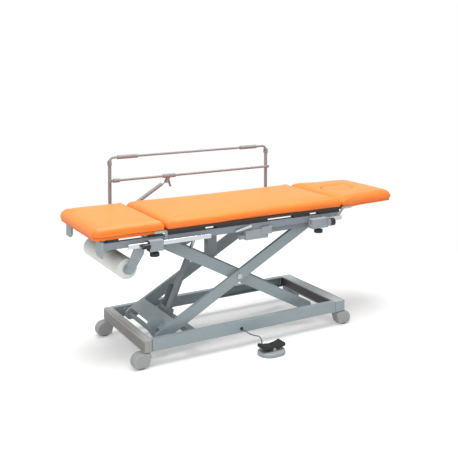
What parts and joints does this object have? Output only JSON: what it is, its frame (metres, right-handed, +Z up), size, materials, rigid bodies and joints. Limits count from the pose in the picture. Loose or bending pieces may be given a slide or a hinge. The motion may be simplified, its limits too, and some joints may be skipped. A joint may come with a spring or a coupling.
{
  "type": "electric examination couch",
  "caption": "Padded couch on an electric scissor lift with tilting end sections, folding side rail, paper roll holder, foot switch and castors",
  "frame": {"origin": "middle of the overall footprint, on the floor", "axes": "X along the couch towards the head section with the face hole, Y across towards the side rail, Z up"},
  "size_m": [2, 0.8538, 1.018],
  "materials": {
    "base_front_beam": "blue-grey powder coat",
    "base_rear_beam": "blue-grey powder coat",
    "upper_front_beam": "blue-grey powder coat",
    "upper_rear_beam": "blue-grey powder coat",
    "upper_cross_tubes": "blue-grey powder coat",
    "outer_front_arm": "blue-grey powder coat",
    "outer_rear_arm": "blue-grey powder coat",
    "inner_front_arm": "blue-grey powder coat",
    "inner_rear_arm": "blue-grey powder coat",
    "outer_arm_yoke": "blue-grey powder coat",
    "inner_arm_tube": "blue-grey powder coat",
    "base_cross_tube": "blue-grey powder coat",
    "frame_brackets": "blue-grey powder coat",
    "roll_holder": "blue-grey powder coat",
    "side_rail_sockets": "blue-grey powder coat",
    "base_left_beam": "warm grey powder coat",
    "base_right_beam": "warm grey powder coat",
    "foot_board": "dark stained plywood",
    "centre_board": "dark stained plywood",
    "head_board": "dark stained plywood",
    "foot_cushion": "orange leatherette",
    "centre_cushion": "orange leatherette",
    "head_cushion": "orange leatherette",
    "face_plug": "orange leatherette",
    "foot_hinge_leaves": "zinc plated",
    "head_hinge_leaves": "zinc plated",
    "centre_pivot_bolts": "zinc plated",
    "upper_rollers": "black nylon",
    "lower_rollers": "black nylon",
    "left_clamp_knob": "black nylon",
    "right_clamp_knob": "black nylon",
    "release_lever": "black nylon",
    "pedal_rocker": "black nylon",
    "pad_spacers": "black nylon",
    "cord_gland": "black nylon",
    "side_rail_trigger": "black nylon",
    "clamp_blocks": "light grey",
    "control_box": "light grey",
    "junction_box": "dark grey",
    "actuator_motor": "dark grey",
    "actuator_tube": "dark grey",
    "actuator_rod": "bright",
    "accessory_rails": "bright",
    "side_rail_strut_rod": "bright",
    "paper_roll": "white paper",
    "pedal_base": "grey",
    "foot_switch_cord": "grey",
    "side_rail_left_post": "pinkish grey enamel",
    "side_rail_right_post": "pinkish grey enamel",
    "side_rail_top_tube": "pinkish grey enamel",
    "side_rail_mid_rail": "pinkish grey enamel",
    "side_rail_strut_tube": "pinkish grey enamel",
    "left_front_hood": "grey nylon",
    "left_front_wheels": "grey tread",
    "left_rear_hood": "grey nylon",
    "left_rear_wheels": "grey tread",
    "right_front_hood": "grey nylon",
    "right_front_wheels": "grey tread",
    "right_rear_hood": "grey nylon",
    "right_rear_wheels": "grey tread"
  },
  "bodies": {
    "base": {"base_left_beam": "base_left_beam", "base_right_beam": "base_right_beam", "base_front_beam": "base_front_beam", "base_rear_beam": "base_rear_beam", "base_cross_tube": "base_cross_tube", "cord_gland": "cord_gland", "foot_switch_cord": "foot_switch_cord", "pedal_base": "pedal_base"},
    "pedal_rocker": {"pedal_rocker": "pedal_rocker"},
    "outer_arms": {"outer_front_arm": "outer_front_arm", "outer_rear_arm": "outer_rear_arm", "outer_arm_yoke": "outer_arm_yoke", "centre_pivot_bolts": "centre_pivot_bolts"},
    "inner_arms": {"inner_front_arm": "inner_front_arm", "inner_rear_arm": "inner_rear_arm", "inner_arm_tube": "inner_arm_tube"},
    "top_frame": {"upper_front_beam": "upper_front_beam", "upper_rear_beam": "upper_rear_beam", "upper_cross_tubes": "upper_cross_tubes", "frame_brackets": "frame_brackets", "accessory_rails": "accessory_rails", "pad_spacers": "pad_spacers", "control_box": "control_box", "junction_box": "junction_box", "clamp_blocks": "clamp_blocks", "roll_holder": "roll_holder", "side_rail_sockets": "side_rail_sockets", "centre_board": "centre_board", "centre_cushion": "centre_cushion"},
    "upper_rollers": {"upper_rollers": "upper_rollers"},
    "lower_rollers": {"lower_rollers": "lower_rollers"},
    "actuator_tube": {"actuator_tube": "actuator_tube", "actuator_motor": "actuator_motor"},
    "actuator_rod": {"actuator_rod": "actuator_rod"},
    "foot_section": {"foot_board": "foot_board", "foot_cushion": "foot_cushion", "foot_hinge_leaves": "foot_hinge_leaves"},
    "head_section": {"head_board": "head_board", "head_cushion": "head_cushion", "head_hinge_leaves": "head_hinge_leaves"},
    "face_plug": {"face_plug": "face_plug"},
    "left_clamp_knob": {"left_clamp_knob": "left_clamp_knob"},
    "right_clamp_knob": {"right_clamp_knob": "right_clamp_knob"},
    "release_lever": {"release_lever": "release_lever"},
    "paper_roll": {"paper_roll": "paper_roll"},
    "side_rail_left_post": {"side_rail_left_post": "side_rail_left_post"},
    "side_rail_right_post": {"side_rail_right_post": "side_rail_right_post"},
    "side_rail_top_tube": {"side_rail_top_tube": "side_rail_top_tube"},
    "side_rail_mid_rail": {"side_rail_mid_rail": "side_rail_mid_rail"},
    "side_rail_trigger": {"side_rail_trigger": "side_rail_trigger"},
    "side_rail_strut_tube": {"side_rail_strut_tube": "side_rail_strut_tube"},
    "side_rail_strut_rod": {"side_rail_strut_rod": "side_rail_strut_rod"},
    "left_front_hood": {"left_front_hood": "left_front_hood"},
    "left_front_wheels": {"left_front_wheels": "left_front_wheels"},
    "left_rear_hood": {"left_rear_hood": "left_rear_hood"},
    "left_rear_wheels": {"left_rear_wheels": "left_rear_wheels"},
    "right_front_hood": {"right_front_hood": "right_front_hood"},
    "right_front_wheels": {"right_front_wheels": "right_front_wheels"},
    "right_rear_hood": {"right_rear_hood": "right_rear_hood"},
    "right_rear_wheels": {"right_rear_wheels": "right_rear_wheels"}
  },
  "joints": [
    {"name": "lift", "type": "hinge", "parent": "base", "child": "outer_arms", "pos_m": [-0.602, 0.0731, 0.117], "axis": [0, -1, 0], "range_deg": [-12, 11]},
    {"name": "inner_arm_cross", "type": "hinge", "parent": "outer_arms", "child": "inner_arms", "pos_m": [-0.12124, 0.0731, 0.3737], "axis": [0, -1, 0], "range_deg": [-22.5, 24.5]},
    {"name": "top_frame_level", "type": "hinge", "parent": "inner_arms", "child": "top_frame", "pos_m": [-0.602, 0.0731, 0.6304], "axis": [0, -1, 0], "range_deg": [-12.5, 11.5]},
    {"name": "upper_roller_spin", "type": "hinge", "parent": "outer_arms", "child": "upper_rollers", "pos_m": [0.35952, 0.0731, 0.6304], "axis": [0, 1, 0], "continuous": true},
    {"name": "lower_roller_spin", "type": "hinge", "parent": "inner_arms", "child": "lower_rollers", "pos_m": [0.35952, 0.0731, 0.117], "axis": [0, 1, 0], "continuous": true},
    {"name": "actuator_tilt", "type": "hinge", "parent": "base", "child": "actuator_tube", "pos_m": [-0.49, 0.0731, 0.105], "axis": [0, -1, 0], "range_deg": [-7.2, 6.6]},
    {"name": "actuator_rod_swing", "type": "hinge", "parent": "inner_arms", "child": "actuator_rod", "pos_m": [-0.27784, 0.0731, 0.58995], "axis": [0, -1, 0], "range_deg": [-19.2, 17.6]},
    {"name": "foot_section_tilt", "type": "hinge", "parent": "top_frame", "child": "foot_section", "pos_m": [-0.6, 0.0731, 0.6985], "axis": [0, 1, 0], "range_deg": [0, 35], "deforming": ["foot_cushion"]},
    {"name": "head_section_tilt", "type": "hinge", "parent": "top_frame", "child": "head_section", "pos_m": [0.55, 0.0731, 0.6985], "axis": [0, -1, 0], "range_deg": [-30, 35], "deforming": ["head_cushion"]},
    {"name": "face_plug_lift", "type": "slide", "parent": "head_section", "child": "face_plug", "axis": [0, 0, 1], "range_m": [0, 0.09]},
    {"name": "left_knob_turn", "type": "hinge", "parent": "top_frame", "child": "left_clamp_knob", "pos_m": [-0.676, -0.2319, 0.6], "axis": [0, 0, 1], "continuous": true},
    {"name": "right_knob_turn", "type": "hinge", "parent": "top_frame", "child": "right_clamp_knob", "pos_m": [0.354, -0.2319, 0.6], "axis": [0, 0, 1], "continuous": true},
    {"name": "release_lever_press", "type": "hinge", "parent": "top_frame", "child": "release_lever", "pos_m": [-0.093, -0.2139, 0.667], "axis": [0, -1, 0], "range_deg": [-3, 15], "stiffness_Nm_per_rad": 1.5},
    {"name": "paper_roll_spin", "type": "hinge", "parent": "top_frame", "child": "paper_roll", "pos_m": [-0.806, 0.0731, 0.525], "axis": [0, 1, 0], "continuous": true},
    {"name": "pedal_rock", "type": "hinge", "parent": "base", "child": "pedal_rocker", "pos_m": [-0.052, -0.3649, 0.033], "axis": [0, 1, 0], "range_deg": [-6, 6], "stiffness_Nm_per_rad": 8},
    {"name": "side_rail_fold", "type": "hinge", "parent": "top_frame", "child": "side_rail_left_post", "pos_m": [-0.668, 0.4111, 0.64], "axis": [0, 1, 0], "range_deg": [0, 75]},
    {"name": "right_post_fold", "type": "hinge", "parent": "top_frame", "child": "side_rail_right_post", "pos_m": [0.404, 0.4111, 0.64], "axis": [0, 1, 0], "range_deg": [-1, 77]},
    {"name": "top_tube_level", "type": "hinge", "parent": "side_rail_left_post", "child": "side_rail_top_tube", "pos_m": [-0.668, 0.4111, 0.965], "axis": [0, 1, 0], "range_deg": [-77, 1]},
    {"name": "mid_rail_level", "type": "hinge", "parent": "side_rail_left_post", "child": "side_rail_mid_rail", "pos_m": [-0.668, 0.4111, 0.874], "axis": [0, 1, 0], "range_deg": [-77, 1]},
    {"name": "strut_tube_swing", "type": "hinge", "parent": "top_frame", "child": "side_rail_strut_tube", "pos_m": [-0.668, 0.3891, 0.64], "axis": [0, 1, 0], "range_deg": [-1, 29]},
    {"name": "strut_rod_swing", "type": "hinge", "parent": "side_rail_mid_rail", "child": "side_rail_strut_rod", "pos_m": [-0.318, 0.3891, 0.84], "axis": [0, 1, 0], "range_deg": [-1, 29]},
    {"name": "trigger_pull", "type": "hinge", "parent": "side_rail_mid_rail", "child": "side_rail_trigger", "pos_m": [-0.305, 0.3891, 0.854], "axis": [0, 1, 0], "range_deg": [0, 18], "stiffness_Nm_per_rad": 0.6},
    {"name": "left_front_swivel", "type": "hinge", "parent": "base", "child": "left_front_hood", "pos_m": [-0.707, -0.1889, 0.08], "axis": [0, 0, 1], "continuous": true},
    {"name": "left_front_roll", "type": "hinge", "parent": "left_front_hood", "child": "left_front_wheels", "pos_m": [-0.741, -0.1889, 0.038], "axis": [0, 1, 0], "continuous": true},
    {"name": "left_rear_swivel", "type": "hinge", "parent": "base", "child": "left_rear_hood", "pos_m": [-0.707, 0.3351, 0.08], "axis": [0, 0, 1], "continuous": true},
    {"name": "left_rear_roll", "type": "hinge", "parent": "left_rear_hood", "child": "left_rear_wheels", "pos_m": [-0.741, 0.3351, 0.038], "axis": [0, 1, 0], "continuous": true},
    {"name": "right_front_swivel", "type": "hinge", "parent": "base", "child": "right_front_hood", "pos_m": [0.526, -0.1889, 0.08], "axis": [0, 0, 1], "continuous": true},
    {"name": "right_front_roll", "type": "hinge", "parent": "right_front_hood", "child": "right_front_wheels", "pos_m": [0.56, -0.1889, 0.038], "axis": [0, 1, 0], "continuous": true},
    {"name": "right_rear_swivel", "type": "hinge", "parent": "base", "child": "right_rear_hood", "pos_m": [0.526, 0.3351, 0.08], "axis": [0, 0, 1], "continuous": true},
    {"name": "right_rear_roll", "type": "hinge", "parent": "right_rear_hood", "child": "right_rear_wheels", "pos_m": [0.56, 0.3351, 0.038], "axis": [0, 1, 0], "continuous": true}
  ],
  "couplings": [
    {"joint": "inner_arm_cross", "follows": "lift", "ratio": -2},
    {"joint": "top_frame_level", "follows": "lift", "ratio": 1},
    {"joint": "actuator_tilt", "follows": "lift", "ratio": 0.578},
    {"joint": "actuator_rod_swing", "follows": "lift", "ratio": 1.578},
    {"joint": "right_post_fold", "follows": "side_rail_fold", "ratio": 1},
    {"joint": "top_tube_level", "follows": "side_rail_fold", "ratio": -1},
    {"joint": "mid_rail_level", "follows": "side_rail_fold", "ratio": -1},
    {"joint": "strut_tube_swing", "follows": "side_rail_fold", "ratio": 0.3675},
    {"joint": "strut_rod_swing", "follows": "side_rail_fold", "ratio": 0.3675}
  ]
}
